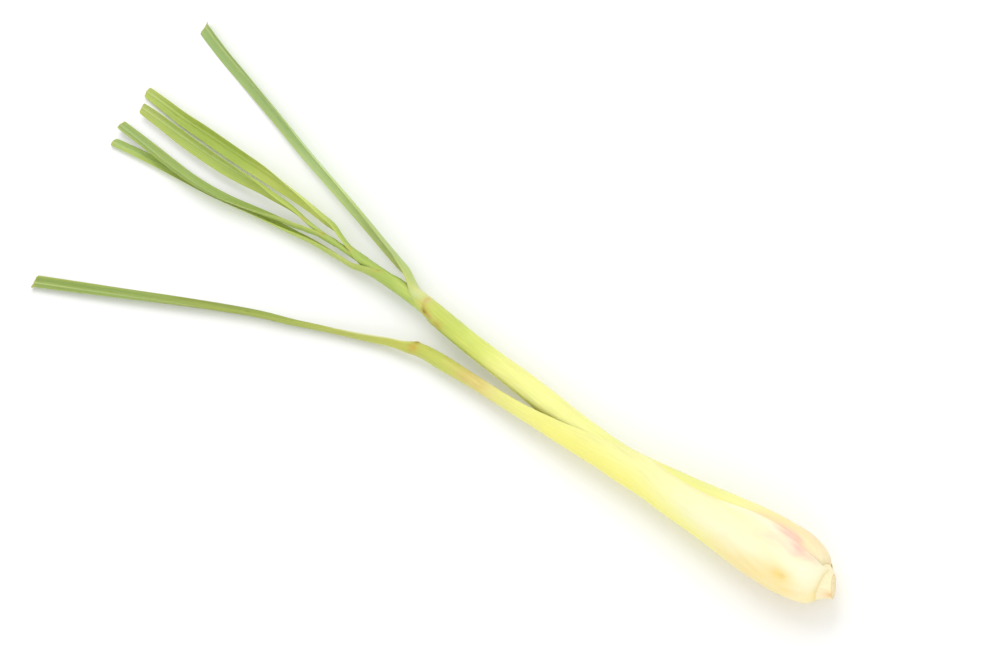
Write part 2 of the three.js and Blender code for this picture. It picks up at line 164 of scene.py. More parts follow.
# ---- the stalk's tables -------------------------------------------------------------------------
AXIS = [
    [-4, 0.25, 13.35], [-2, 0.75, 13.2], [0, 1.3, 13.0], [2, 1.85, 12.8], [3.5, 2.0, 12.7], [5.5, 1.75, 12.66], [7.5, 1.3, 12.66], [10, 1.02, 12.66],
    [14, 0.9, 12.66], [18, 1.0, 12.67], [22, 1.27, 12.67], [27, 1.57, 12.64], [31, 1.85, 12.55], [36, 2.2, 12.38], [45.5, 2.85, 12.0],
    [55, 3.64, 11.58], [64, 4.45, 11.2], [74, 5.25, 10.85], [84, 6.1, 10.55], [94, 6.8, 10.3], [104, 6.65, 10.1],
    [114, 6.2, 9.9], [124, 5.55, 9.7], [134.5, 4.75, 9.5], [145, 4.1, 9.25], [156, 3.68, 8.95], [167, 3.35, 8.65],
    [178, 2.85, 8.3], [189, 2.1, 8.0], [200, 1.25, 7.7], [212, 0.7, 7.45], [226, 0.5, 7.2], [240, 0.6, 7.0],
    [260, 0.8, 6.8], [290, 1.0, 6.6],
]
STALK_R = [
    [1.8, 5.25], [3, 6.2], [4.5, 7.35], [5.5, 8.05], [7, 8.98], [10, 10.13], [13.5, 10.96], [18, 11.48], [22, 11.55], [27, 11.5],
    [31, 11.3], [36, 10.92], [45.5, 9.98], [55, 8.95], [64, 8.16], [74, 7.27], [84, 6.45], [94, 5.85], [104, 5.5],
    [114, 5.2], [124, 5.0], [134.5, 4.8], [145, 4.6], [156, 4.35], [167, 4.15], [178, 4.08], [200, 4.04], [215, 3.95], [300, 3.6],
]
WALL = {
    "outer": [[1.8, 0.55], [3, 0.6], [6, 0.7], [12, 0.95], [30, 0.95], [50, 0.85], [70, 0.75], [85, 0.65], [110, 0.55], [400, 0.55]],
    "second": [[4.5, 0.55], [7, 0.95], [10, 1.5], [18, 2.0], [30, 2.0], [50, 1.4], [70, 1.0], [90, 0.75], [120, 0.6], [150, 0.5], [400, 0.5]],
    "third": [[9, 0.9], [14, 1.5], [20, 1.9], [35, 1.8], [50, 1.3], [70, 0.95], [100, 0.6], [150, 0.5], [400, 0.5]],
    "fourth": [[13, 0.9], [18, 1.5], [30, 1.5], [50, 1.1], [70, 0.8], [100, 0.6], [150, 0.5], [400, 0.5]],
    "fifth": [[17, 0.8], [22, 1.2], [35, 1.1], [50, 0.9], [70, 0.7], [100, 0.55], [150, 0.45], [400, 0.45]],
    "inner": [[20, 2.2], [30, 2.2], [60, 2.0], [70, 1.9], [100, 1.5], [150, 0.95], [200, 0.62], [270, 0.5], [300, 0.45], [400, 0.45]],
}
STEM = [
    [-4, 3.1], [-3, 3.4], [-2, 3.7], [-0.7, 4.1], [0, 4.35], [1, 4.8], [1.8, 5.2], [3, 6.1], [4, 6.4], [5.5, 6.5], [7, 6.5], [8.5, 6.4], [11, 5.8],
    [14, 4.6], [17, 3.4], [20, 2.4], [24, 1.6], [27, 1.0], [28.2, 0.5],
]
STEM_CUT = (-1.03, 1.0, 13.1)
STEM_CUT_SLOPE = (-0.62, -0.08)


def gap(x):
    return mix(0.4, 0.3, smooth(10, 60, x))


def radius_of(key, x):
    r = at(STALK_R, x)
    if key == "outer":
        return r + gap(x) + at(WALL["outer"], x)
    for name in ("second", "third", "fourth", "fifth", "inner"):
        if name == key:
            return r
        r = r - at(WALL[name], x) - gap(x)
    raise ValueError(key)


def axis_point(x):
    x = np.asarray(x, float)
    return np.stack([x, at(AXIS, x, 1, False), at(AXIS, x, 2, False)], -1)


LEAVES = {
    "outer_leaf": dict(
        key="outer", columns=20, base=2.85, skew=-1.0, lean=45, thin=0.5,
        wrap=[[1.8, 150, -151], [3.2, 141, -150.5], [4.9, 127, -149.5], [6.6, 120.5, -148.5], [8.2, 116.5, -147], [10.4, 113, -146], [12.5, 112, -145], [16, 118.5, -144], [21, 124, -143], [29, 125, -142],
              [37, 123, -142], [44.6, 117, -142], [53, 113, -142], [60, 113.5, -142], [72, 122, -142], [80, 138, -142], [86, 146, -140], [95, 134, -122], [103, 118, -104],
              [113, 106, -93], [122, 98, -92], [134, 96, -98],
              [146, 105, -112], [158, 122, -120], [170, 142, -112], [186, 162, -84], [193, 153, -74], [198, 134, -68], [204, 90, -62], [214, 50, -58], [240, 22, -62],
              [280, -2, -76], [330, -30, -88], [375, -52, -100]],
        radius=[[86, 7.3], [94, 6.95], [103, 6.7], [113, 6.45], [122, 6.0], [134, 5.0], [146, 3.95], [170, 3.05], [186, 3.15], [197, 3.0], [204, 3.3],
                [214, 4.2], [240, 5.2], [280, 6], [330, 7.5], [375, 8.5]],
        path=[[80, 5.75, 10.7, 0], [92, 6.8, 10.35, 0], [103, 7.4, 10.1, 0], [119, 8.7, 9.65, 0], [134, 10.4, 9.0, 0], [146, 11.9, 8.15, 0],
              [165, 13.5, 6.6, 0], [186, 14.9, 5.3, 0], [197, 16.0, 4.7, 0], [209.2, 20.1, 2.2, 0.85], [219.6, 23.85, 0.9, 1], [231.7, 28.0, 0.5, 1],
              [243.6, 32.25, 0.25, 1], [254.8, 36.5, 0.1, 1], [269.5, 41.6, 0, 1], [288, 49.2, 0, 1], [308.8, 58.5, 0, 1], [329.7, 68.1, 0, 1],
              [351.5, 77.9, 0, 1], [375, 88.4, 0, 1]],
        fold=[[197, 0], [215, 14], [375, 12]], join=(84, 94), end=375.0),
    "second_leaf": dict(
        key="second", columns=18, base=5.1, skew=-0.55, lean=0, thin=0.6,
        wrap=[[5, 356, 8], [150, 354, 8], [196, 352, 12], [204, 334, 32], [210, 290, 72], [217, 254, 112], [224, 252, 124], [232, 256, 146],
              [260, 258, 160], [330, 262, 178], [392, 272, 200]],
        radius=[[204, 3.97], [212, 4.0], [217, 4.05], [224, 4.2], [232, 4.6], [260, 5.2], [330, 6], [392, 6.5]],
        path=[[205, 1.0, 7.6, 0], [213, 0.4, 7.45, 0], [221, -5.2, 4.2, 1], [229.6, -7.3, 4.7, 1], [236.9, -8.9, 5.0, 1], [251.9, -12.3, 5.1, 1],
              [275.2, -17.3, 4.5, 1], [298.7, -22.2, 3.6, 1], [323.3, -28.0, 2.2, 1], [354, -34.9, 0.6, 1], [369, -38.2, 0.1, 1], [384.1, -42.1, 0, 1], [392, -44.4, 0, 1]],
        fold=[[214, 0], [228, 14], [392, 14]], join=(207, 220), end=392.0),
    "third_leaf": dict(
        key="third", columns=14, base=9.4, skew=0.0, lean=0, thin=0.72,
        wrap=[[9, 172, -172], [205, 172, -172], [221, 165, -165], [227, 130, -130], [233, 92, -92], [239, 64, -70], [247, 46, -58], [262, 30, -54],
              [300, -8, -66], [340, -33, -78], [392, -56, -88]],
        radius=[[221, 3.16], [239, 3.2], [247, 3.7], [262, 4.8], [300, 6.6], [340, 8], [392, 8.5]],
        path=[[226, 0.5, 7.2, 0], [234, 0.9, 7.1, 0], [243, 4.3, 3.4, 1], [250, 4.4, 3.0, 1], [259.4, 4.8, 2.4, 1], [270.9, 5.4, 1.7, 1], [282.2, 6.7, 1.1, 1], [293.6, 8.0, 0.65, 1],
              [305.5, 9.4, 0.3, 1], [316.6, 11.0, 0.1, 1], [328.4, 12.5, 0, 1], [340.8, 13.7, 0, 1], [353.3, 14.9, 0, 1], [366, 16.2, 0, 1], [378, 17.8, 0, 1], [391, 19.7, 0, 1]],
        fold=[[240, 0], [254, 12], [391, 12]], join=(230, 250), end=391.0),
    "fourth_leaf": dict(
        key="fourth", columns=14, base=13.2, skew=0.0, lean=0, thin=0.72,
        wrap=[[13, 350, 10], [230, 350, 10], [241, 342, 18], [246, 300, 60], [251, 258, 102], [257, 240, 120], [265, 240, 130], [280, 240, 152],
              [315, 262, 190], [350, 269, 208], [393, 267, 226]],
        radius=[[241, 2.35], [251, 2.5], [257, 3.1], [265, 4.0], [280, 5.4], [315, 7], [393, 8]],
        path=[[246, 0.6, 7.0, 0], [252, 0.2, 6.9, 0], [260, -3.4, 4.6, 1], [272.2, -4.5, 4.3, 1], [285.2, -5.2, 3.9, 1], [297.8, -5.4, 3.4, 1], [311.4, -5.7, 2.9, 1], [324, -5.6, 2.5, 1],
              [337.5, -5.6, 2.1, 1], [351.2, -5.7, 1.8, 1], [364.7, -5.6, 1.5, 1], [379.6, -6.2, 1.2, 1], [393, -6.6, 1.0, 1]],
        fold=[[256, 0], [270, 12], [393, 12]], join=(248, 266), end=393.0),
    "fifth_leaf": dict(
        key="fifth", columns=14, base=17.2, skew=0.0, lean=0, thin=0.72,
        wrap=[[17, 170, -170], [250, 170, -170], [258, 155, -155], [263, 120, -120], [268, 82, -84], [274, 56, -62], [283, 38, -56], [300, 6, -66],
              [330, -18, -76], [392, -44, -84]],
        radius=[[258, 1.55], [268, 2.0], [274, 2.7], [283, 3.8], [300, 5.4], [330, 7], [392, 8]],
        path=[[263, 0.8, 6.8, 0], [269, 1.3, 6.7, 0], [277, 4.0, 4.3, 1], [286, 5.2, 3.9, 1], [297, 7.2, 3.4, 1], [308, 9.3, 3.0, 1], [320, 11.5, 2.75, 1], [332, 12.8, 2.6, 1], [343, 13.2, 2.5, 1],
              [355, 12.9, 2.4, 1], [367, 12.4, 2.3, 1], [380, 12.0, 2.2, 1], [392, 11.7, 2.1, 1]],
        fold=[[272, 0], [286, 12], [392, 12]], join=(264, 284), end=392.0),
    "inner_leaf": dict(
        key="inner", columns=14, base=29.0, skew=0.0, lean=0, thin=0.72,
        wrap=[[29, 335, 25], [262, 335, 25], [271, 320, 40], [277, 280, 80], [283, 250, 110], [291, 242, 122], [305, 248, 150], [330, 262, 184],
              [360, 266, 202], [387, 263, 219]],
        radius=[[262, 0.85], [271, 1.05], [277, 1.5], [283, 2.2], [291, 3.4], [305, 5.0], [330, 6.6], [387, 7.6]],
        path=[[277, 0.2, 5.7, 1], [292, -0.1, 5.6, 1], [305, 0.2, 5.4, 1], [317.6, 1.2, 5.1, 1], [329.9, 1.8, 4.8, 1], [343.3, 1.9, 4.5, 1], [356.9, 1.7, 4.2, 1], [371.8, 1.1, 3.9, 1], [387, 0.8, 3.6, 1]],
        fold=[[277, 0], [295, 12], [387, 12]], join=(278, 298), end=387.0),
}

# How each leaf is drawn: columns across one face, row spacing in the hidden sheath, where the sheath
# comes into sight, how many veins stand up across it, seed of its own wobble, and its cut.
DRAW = {
    "outer_leaf": dict(across=112, seen=3.0, collar=(196, 214), veins=17, seed=11, tear=0.45, slant=1.3, round=1.3, foot=2.0, ear=(198.0, 1.1)),
    "second_leaf": dict(across=108, seen=5.0, collar=(199, 222), veins=17, seed=23, tear=0.50, slant=-1.6, round=1.8, foot=1.6, close=0.27),
    "third_leaf": dict(across=86, seen=205.0, collar=(224, 244), veins=14, seed=37, tear=0.40, slant=1.0, round=1.9, foot=0.8),
    "fourth_leaf": dict(across=86, seen=228.0, collar=(241, 260), veins=14, seed=41, tear=0.40, slant=-0.9, round=1.7, foot=0.8),
    "fifth_leaf": dict(across=80, seen=240.0, collar=(258, 277), veins=13, seed=53, tear=0.40, slant=1.2, round=1.8, foot=0.8),
    "inner_leaf": dict(across=76, seen=255.0, collar=(270, 288), veins=12, seed=67, tear=0.35, slant=-0.8, round=1.6, foot=0.8),
}


def curve_of(r, fold, width, u):
    """Points of the section's line at arc lengths u from the back, and its turn there."""
    a = np.abs(u)
    grid = np.linspace(0.0, max(width, 1e-6), 161)
    mid = (grid[1:] + grid[:-1]) / 2
    psi_mid = mid / r + fold * smooth(0, 1.2, mid)
    du = grid[1] - grid[0]
    px = np.concatenate([[0], np.cumsum(np.cos(psi_mid) * du)])
    py = np.concatenate([[0], np.cumsum(-np.sin(psi_mid) * du)])
    psi = a / r + fold * smooth(0, 1.2, a)
    sign = np.where(u < 0, -1.0, 1.0)
    return np.interp(a, grid, px) * sign, np.interp(a, grid, py), psi * sign


def offset(px, py, psi, d):
    return px - np.sin(psi) * d, py - np.cos(psi) * d


class Leaf:
    """One leaf's own numbers at each of its rows."""

    def __init__(self, name, xs):
        spec = LEAVES[name]
        self.name, self.spec, self.draw = name, spec, DRAW[name]
        self.xs = xs
        key = spec["key"]
        a, b = at(spec["wrap"], xs, 1), at(spec["wrap"], xs, 2)
        self.back, self.half = (a + b) / 2 * DEG, (a - b) / 2 * DEG
        self.sheath_r = radius_of(key, xs)
        self.r = np.where(xs < spec["radius"][0][0], self.sheath_r, at(spec["radius"], xs))
        self.wall = np.minimum(at(WALL[key], xs), self.r - 0.2)
        self.fold = at(spec["fold"], xs) * DEG
        self.width = self.half * self.r
        self.join = smooth(spec["join"][0], spec["join"][1], xs)
        self.along = smooth(spec["join"][0], spec["join"][1] + 8, xs)
        # directions
        d = 1.0
        al = axis_point(xs + d) - axis_point(xs - d)
        al /= np.linalg.norm(al, axis=1)[:, None]
        w = smooth(30, 10, xs)[:, None]
        al = al * (1 - w) + np.array([1.0, 0, 0]) * w
        al /= np.linalg.norm(al, axis=1)[:, None]
        hi = np.minimum(xs + d, spec["end"])
        bl = np.stack([np.full_like(xs, 2 * d), at(spec["path"], hi, 1, False) - at(spec["path"], xs - d, 1, False),
                       (at(spec["path"], hi, 2) - at(spec["path"], xs - d, 2)) * 0.6], -1)
        bl /= np.linalg.norm(bl, axis=1)[:, None]
        w = self.along[:, None]
        t = al * (1 - w) + bl * w
        t /= np.linalg.norm(t, axis=1)[:, None]
        self.tangent = t
        side = np.cross(np.array([0.0, 0, 1.0]), t)
        side /= np.linalg.norm(side, axis=1)[:, None]
        up = np.cross(t, side)
        self.side = side
        cb, sb = np.cos(self.back)[:, None], np.sin(self.back)[:, None]
        self.nu = side * cb + up * sb
        self.tau = -side * sb + up * cb
        self.axis = axis_point(xs)
        self.origin = self._origins()

    def _origins(self):
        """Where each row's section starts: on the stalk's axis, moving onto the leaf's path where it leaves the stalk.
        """
        spec, out = self.spec, []
        n = spec["columns"]
        for k, x in enumerate(self.xs):
            on_axis = self.axis[k] + self.nu[k] * self.r[k]
            w = self.join[k]
            if w <= 0:
                out.append(on_axis)
                continue
            u = np.linspace(-self.width[k], self.width[k], n + 1)
            px, py, psi = curve_of(self.r[k], self.fold[k], self.width[k], u)
            edge = np.abs(u) / self.width[k]
            d = self.wall[k] * (1 - spec["thin"]) * smooth(0.25, 1, edge)
            ox, oy = offset(px, py, psi, d)
            ix, iy = offset(px, py, psi, self.wall[k])
            pts = (np.concatenate([ox, ix])[:, None] * self.tau[k] + np.concatenate([oy, iy])[:, None] * self.nu[k])
            lo = pts[:, 2].min()
            lat = pts @ self.side[k]
            anchor = float(at(spec["path"], x, 3))
            on_path = np.array([x, float(at(spec["path"], x, 1, False)), float(at(spec["path"], x, 2))])
            on_path = on_path - self.side[k] * anchor * (lat.min() + lat.max()) / 2
            on_path[2] -= anchor * lo
            on_path = on_path + self.nu[k] * (1 - anchor) * self.r[k]
            out.append(on_axis * (1 - w) + on_path * w)
        return np.array(out)


def rows_for(name):
    """Where the leaf's rows lie: close where it shows bends, margins and cuts, wide where it is hidden."""
    spec, draw = LEAVES[name], DRAW[name]
    base, end, seen = spec["base"], spec["end"], draw["seen"]
    c0, c1 = draw["collar"]
    parts = [base + np.array([0, 0.06, 0.15, 0.28, 0.44, 0.62, 0.8])]
    x = base + 0.8
    rows = []
    while x < end - 4.0:
        step = 1.35
        if x < seen - 2:
            step = 4.0
        elif x < 30:
            step = 0.55
        elif x < 60:
            step = 0.9
        if c0 - 6 < x < c1 + 8:
            step = 0.6
        x += step
        if x < end - 4.0:
            rows.append(x)
    parts.append(np.array(rows))
    parts.append(end - np.array([4.0, 3.2, 2.6, 2.1, 1.7, 1.3, 1.0, 0.75, 0.5, 0.3, 0.15, 0.05, 0.0]))
    return np.concatenate(parts)


def columns_for(width, n):
    """Arc lengths across one face: even, with a few close ones that round each margin."""
    close = np.array([0.0, 0.012, 0.04, 0.09, 0.16, 0.25])
    lim = min(0.3, width * 0.2)
    close = close / 0.3 * lim
    inner = np.linspace(-(width - lim), width - lim, n - 2 * len(close))
    return np.concatenate([-(width - close), inner, (width - close)[::-1]])


def build_leaf(name):
    spec, draw = LEAVES[name], DRAW[name]
    xs = rows_for(name)
    L = Leaf(name, xs)
    n = draw["across"]
    K = len(xs)
    key = spec["key"]
    co = np.zeros((K, 2 * n, 3))
    U = np.zeros((K, n))
    c0, c1 = draw["collar"]
    blade = smooth(c0, c1, xs)              # 0 on the sheath, 1 on the blade
    free = np.maximum(smooth(spec["join"][0] - 2, spec["join"][1] + 4, xs), 0.0)
    seed = draw["seed"]
    for k, x in enumerate(xs):
        width, r, wall, fold = L.width[k], L.r[k], L.wall[k], L.fold[k]
        g = float(gap(x))
        half_extra = 0.0
        lap = 0.0
        if name == "second_leaf":
            lap = float(smooth(90, 98, x) * smooth(203, 197, x))
            half_extra = 15 * DEG * r * lap
        w = width + half_extra
        u = columns_for(w, n)
        U[k] = u
        a = np.abs(u)
        px, py, psi = curve_of(r, fold, w, u)
        if draw.get("ear"):
            # a small ear stands out of the margin at the collar
            place, tall = draw["ear"]
            out = tall * math.exp(-((x - place) / 1.2) ** 2) * smooth(w - 2.2, w, u)
            tx, ty = np.gradient(px), np.gradient(py)
            px, py = px + out * tx / np.hypot(tx, ty), py + out * ty / np.hypot(tx, ty)
        edge = np.minimum(a / w, 1.0)
        s = u / w
        from_edge = w - a
        b = blade[k]
        # depth of the outer face, as on the solid, and the visible thickness under it
        d = wall * (1 - spec["thin"]) * smooth(0.25, 1, edge)
        # its inner face stays off the next leaf's ribs where both are hidden
        keep = 0.07 if name == "outer_leaf" else mix(0.07, 0.21, float(smooth(14, 30, x)))
        inner_d = wall + (g - keep) * (1 - free[k])
        rim = mix(0.34, 0.16, b)            # thickness near the margin
        reach = mix(2.2, 1.6, b)
        thick_sheath = inner_d - d
        mid = np.exp(-(a / 0.75) ** 2)
        thick_blade = 0.27 + 0.24 * mid
        thick = mix(thick_sheath, thick_blade, b)
        near = smooth(reach, 0.15, from_edge)
        thick = mix(thick, np.minimum(thick, rim), near)
        # sheath keeps its inner face, so the margin thins from outside; a blade thins from inside
        top = mix(inner_d - thick, d * 0.6, b)
        under = top + thick
        # veins: fine ribs lengthwise, wider and lower on the sheath
        ph = wave_noise(seed, np.full(n, x) / 70.0, s, 1.0, 2.0, 6) * 0.35
        rib = np.cos(2 * math.pi * (draw["veins"] * (s * 0.5 + 0.5)) + ph * 2)
        amp = mix(0.012, 0.026, b) * smooth(0.0, 0.8, from_edge)
        bumps = amp * rib + mix(0.05, 0.012, b) * wave_noise(seed + 1, x, u, mix(26, 40, b), mix(7, 5, b)) * smooth(0, 1.5, from_edge)
        keel = b * (0.10 * np.exp(-(a / 0.42) ** 2))
        top = top - bumps - keel
        under = under - bumps * mix(0.3, 0.9, b) + b * amp * 0.6 * rib
        if lap > 0:
            # one margin of the second leaf lies over the other
            over = smooth(w - half_extra * 2 - 1.6, w - half_extra * 2 + 0.2, u) * lap
            below = smooth(w - half_extra * 2 - 1.6, w - half_extra * 2 + 0.2, -u) * lap
            top = mix(top, -0.2, over)
            under = mix(under, 0.03, over)
            top = mix(top, 0.07, below)
            under = mix(under, 0.32, below)
        # round the margin
        lim = min(0.3, width * 0.2)
        q = np.clip(1 - from_edge / lim, 0, 1)
        mid_d = (top + under) / 2
        half_t = (under - top) / 2 * np.sqrt(np.clip(1 - q * q, 0, 1)) + 0.006
        top, under = mid_d - half_t, mid_d + half_t
        # round the base edge, where the leaf leaves its node
        t = min(1.0, (x - spec["base"]) / draw["foot"])
        rise = mix(t, math.sqrt(1 - (1 - t) ** 2), 0.35)
        top = mix(under - 0.06, top, rise) if t < 1 else top
        ox, oy = offset(px, py, psi, top)
        ix, iy = offset(px, py, psi, under)
        both_x = np.concatenate([ox, ix[::-1]])
        both_y = np.concatenate([oy, iy[::-1]])
        v = L.origin[k] + both_x[:, None] * L.tau[k] + both_y[:, None] * L.nu[k]
        slide = float(smooth(spec["base"] + 8, spec["base"], x)) * spec["skew"]
        if slide:
            c = L.axis[k]
            radial = v - c
            radial[:, 0] = 0
            radial /= np.linalg.norm(radial, axis=1)[:, None]
            lean = spec["lean"] * DEG
            dx = slide * (radial[:, 1] * math.cos(lean) + radial[:, 2] * math.sin(lean))
            v = v + axis_point(x + dx) - c + radial * (radius_of(key, x + dx) - radius_of(key, x))[:, None]
            if draw.get("close"):
                # where the base shows it closes on the stem
                toward = radial[:, 1] * math.cos(155 * DEG) + radial[:, 2] * math.sin(155 * DEG)
                pull = 0.05 + draw["close"] * smooth(math.cos(68 * DEG), math.cos(15 * DEG), toward)
                v = v - radial * (pull * float(smooth(spec["base"] + 1.4, spec["base"] + 0.1, x)))[:, None]
        # the cut across the tip: a little slanted and torn, never past the solid's end
        to_end = spec["end"] - x
        if to_end < 6:
            g2 = np.random.default_rng(seed + 7)
            saw = np.zeros(n)
            knots = np.linspace(-1, 1, 23)
            saw = np.interp(s, knots, g2.uniform(0, 1, 23)) ** 2
            jag = draw["tear"] * saw + abs(draw["slant"]) * (0.5 + 0.5 * np.sign(draw["slant"]) * s)
            jag = jag + draw["round"] * (0.55 * s ** 2 + 0.45 * s ** 6)
            jag = jag * (1 - np.clip(to_end / 6, 0, 1)) ** 1.2
            jj = np.concatenate([jag, jag[::-1]])
            v = v - L.tangent[k] * jj[:, None]
        v[:, 2] = np.maximum(v[:, 2], 0.0)
        over_top = v[:, 2] - (TOP - 0.30)
        v[:, 2] = np.where(over_top > 0, TOP - 0.30 + 0.26 * np.tanh(over_top / 0.26), v[:, 2])
        co[k] = v
    return L, co, U, blade


def make_object(name, co, faces, attrs, vectors):
    me = bpy.data.meshes.new(name)
    me.from_pydata(co.tolist(), [], faces)
    me.update()
    for key, values in attrs.items():
        me.attributes.new(key, "FLOAT", "POINT").data.foreach_set("value", np.asarray(values, np.float32).ravel())
    for key, values in vectors.items():
        me.attributes.new(key, "FLOAT_VECTOR", "POINT").data.foreach_set("vector", np.asarray(values, np.float32).ravel())
    me.polygons.foreach_set("use_smooth", np.ones(len(me.polygons), bool))
    me.set_sharp_from_angle(angle=52 * DEG)
    ob = bpy.data.objects.new(name, me)
    bpy.context.scene.collection.objects.link(ob)
    return ob


def volume(co, quads):
    a, b, c, d = (co[quads[:, i]] for i in range(4))
    return float((np.einsum("ij,ij->i", a, np.cross(b, c)) + np.einsum("ij,ij->i", a, np.cross(c, d))).sum())


def leaf_faces(K, m):
    n = m // 2
    k = np.arange(K - 1)[:, None]
    i = np.arange(m)[None, :]
    j = (i + 1) % m
    quads = np.stack([k * m + i, k * m + j, (k + 1) * m + j, (k + 1) * m + i], -1).reshape(-1, 4)
    c = np.arange(n - 1)
    cap0 = np.stack([c, m - 1 - c, m - 2 - c, c + 1], -1)
    capn = np.stack([c, c + 1, m - 2 - c, m - 1 - c], -1) + (K - 1) * m
    return np.concatenate([quads, cap0, capn])


# ---- materials ----------------------------------------------------------------------------------
class Nodes:
    """Short names for building one material's nodes."""

    def __init__(self, name):
        self.mat = bpy.data.materials.new(name)
        self.mat.use_nodes = True
        self.nt = self.mat.node_tree
        self.bsdf = self.nt.nodes["Principled BSDF"]
        self.x = 0

    def new(self, kind, **props):
        nd = self.nt.nodes.new(kind)
        self.x -= 40
        nd.location = (self.x, (self.x * 7) % 900 - 450)
        for k, v in props.items():
            setattr(nd, k, v)
        return nd

    def put(self, socket, value):
        if isinstance(value, bpy.types.NodeSocket):
            self.nt.links.new(value, socket)
        elif isinstance(value, (tuple, list)):
            socket.default_value = tuple(value) + ((1.0,) if len(value) == 3 and socket.type == "RGBA" else ())
        else:
            socket.default_value = value

    def attr(self, name, vector=False):
        nd = self.new("ShaderNodeAttribute", attribute_type="GEOMETRY", attribute_name=name)
        return nd.outputs["Vector"] if vector else nd.outputs["Fac"]

    def math(self, op, a, b=0.0, c=0.0, clamp=False):
        nd = self.new("ShaderNodeMath", operation=op, use_clamp=clamp)
        self.put(nd.inputs[0], a)
        self.put(nd.inputs[1], b)
        if op in ("MULTIPLY_ADD", "SMOOTH_MIN", "SMOOTH_MAX"):
            self.put(nd.inputs[2], c)
        return nd.outputs[0]

    def scaled(self, v, s):
        nd = self.new("ShaderNodeVectorMath", operation="MULTIPLY")
        self.put(nd.inputs[0], v)
        nd.inputs[1].default_value = s
        return nd.outputs[0]

    def noise(self, v, scale=1.0, detail=3.0, rough=0.55, warp=0.0):
        nd = self.new("ShaderNodeTexNoise", noise_dimensions="3D")
        self.put(nd.inputs["Vector"], v)
        nd.inputs["Scale"].default_value = scale
        nd.inputs["Detail"].default_value = detail
        nd.inputs["Roughness"].default_value = rough
        nd.inputs["Distortion"].default_value = warp
        return nd.outputs["Fac"]

    def ramp(self, f, stops, mode="EASE"):
        """stops: (place, colour or grey)."""
        nd = self.new("ShaderNodeValToRGB")
        cr = nd.color_ramp
        cr.interpolation = mode
        while len(cr.elements) > 1:
            cr.elements.remove(cr.elements[-1])
        for i, (p, c) in enumerate(stops):
            e = cr.elements[0] if i == 0 else cr.elements.new(p)
            e.position = p
            e.color = (c, c, c, 1.0) if isinstance(c, (int, float)) else (c[0], c[1], c[2], 1.0)
        self.put(nd.inputs[0], f)
        return nd.outputs[0]

    def range(self, f, a, b, c=0.0, d=1.0, smoothed=True):
        nd = self.new("ShaderNodeMapRange", interpolation_type="SMOOTHSTEP" if smoothed else "LINEAR", clamp=True)
        self.put(nd.inputs["Value"], f)
        nd.inputs["From Min"].default_value = a
        nd.inputs["From Max"].default_value = b
        nd.inputs["To Min"].default_value = c
        nd.inputs["To Max"].default_value = d
        return nd.outputs["Result"]

    def mix(self, fac, a, b, mode="MIX"):
        nd = self.new("ShaderNodeMix", data_type="RGBA", blend_type=mode, clamp_factor=True)
        self.put(nd.inputs[0], fac)
        self.put(nd.inputs[6], a)
        self.put(nd.inputs[7], b)
        return nd.outputs[2]

    def bump(self, height, strength, distance, normal=None):
        nd = self.new("ShaderNodeBump")
        nd.inputs["Strength"].default_value = strength
        nd.inputs["Distance"].default_value = distance
        self.put(nd.inputs["Height"], height)
        if normal is not None:
            self.put(nd.inputs["Normal"], normal)
        return nd.outputs["Normal"]


LIT = 1.12          # how much light falls on a face turned up


def rgb(r, g, b):
    """A colour as seen on screen in the studio light, 0 to 255, for a shader."""
    out = []
    for v in (r, g, b):
        v = v / 255.0
        v = v / 12.92 if v <= 0.04045 else ((v + 0.055) / 1.055) ** 2.4
        out.append(min(0.95, v / LIT))
    return tuple(out)


